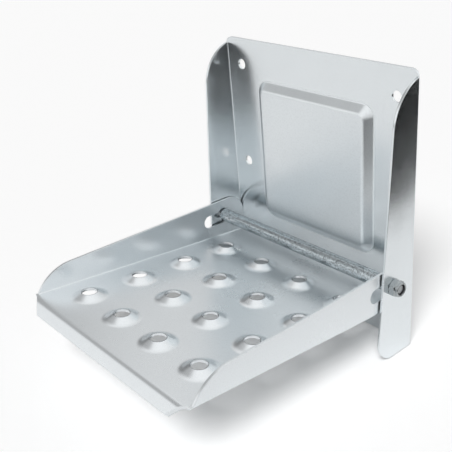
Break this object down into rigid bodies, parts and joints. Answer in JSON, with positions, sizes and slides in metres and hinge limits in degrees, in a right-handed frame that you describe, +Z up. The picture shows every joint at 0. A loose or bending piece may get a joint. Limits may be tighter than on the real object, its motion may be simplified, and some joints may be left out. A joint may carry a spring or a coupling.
{
  "type": "fold-down entry step",
  "caption": "Wall-mounted fold-down entry step: a pressed steel wall plate with side cheeks and a domed, perforated tread tray that swings up on a long bolt.",
  "frame": {"origin": "centre of the pattern of the four fixing holes, on the face that lies against the wall", "axes": "+Z up, +Y into the wall, -Y out towards the person who steps on, +X to the right seen from in front"},
  "size_m": [0.2233, 0.2307, 0.23],
  "materials": {
    "plate_zinc": "bright zinc plating on rolled sheet, semi-gloss with faint clouding",
    "tread_zinc": "bright zinc plating on pressed sheet, satin with faint clouding",
    "bolt_zinc": "zinc-plated bolt, semi-gloss",
    "tube_zinc": "zinc-plated tube, bright with rough dark streaks",
    "nut_zinc": "bright zinc plating, polished flats",
    "nylon": "black nylon"
  },
  "bodies": {
    "wall_bracket": {"wall_plate": "plate_zinc", "hinge_bolt": "bolt_zinc", "spacer_tube": "tube_zinc", "lock_nut": "nut_zinc", "nut_insert": "nylon"},
    "tread": {"tread": "tread_zinc"}
  },
  "joints": [
    {"name": "tread_fold", "type": "hinge", "parent": "wall_bracket", "child": "tread", "pos_m": [0, -0.026, -0.0965], "axis": [-1, 0, 0], "range_deg": [0, 90]}
  ]
}
